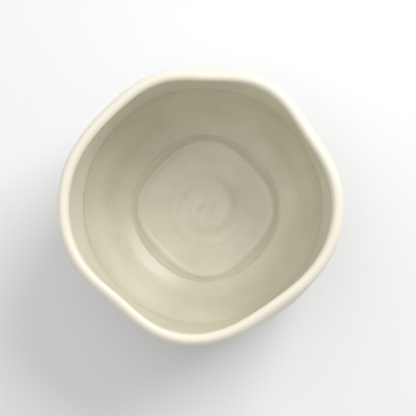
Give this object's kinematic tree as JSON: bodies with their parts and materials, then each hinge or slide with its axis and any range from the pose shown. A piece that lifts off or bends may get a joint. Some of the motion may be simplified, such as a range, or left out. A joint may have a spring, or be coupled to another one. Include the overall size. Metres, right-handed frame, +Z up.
{
  "type": "tea bowl",
  "caption": "Hand-pressed stoneware tea bowl with a soft five-sided mouth, turned foot ring and two glaze coats.",
  "frame": {"origin": "centre of the bowl's outline on the plane that the foot ring stands on", "axes": "+Z up along the wheel axis, towards the open mouth; +X to the right in the picture, +Y to its top edge"},
  "size_m": [0.1231, 0.1204, 0.0761],
  "materials": {
    "stoneware_clay": "matte",
    "ivory_dip_glaze": "satin",
    "celadon_liner_glaze": "satin"
  },
  "bodies": {
    "root": {"clay_body": "stoneware_clay", "dip_glaze": "ivory_dip_glaze", "liner_glaze": "celadon_liner_glaze"}
  },
  "joints": []
}
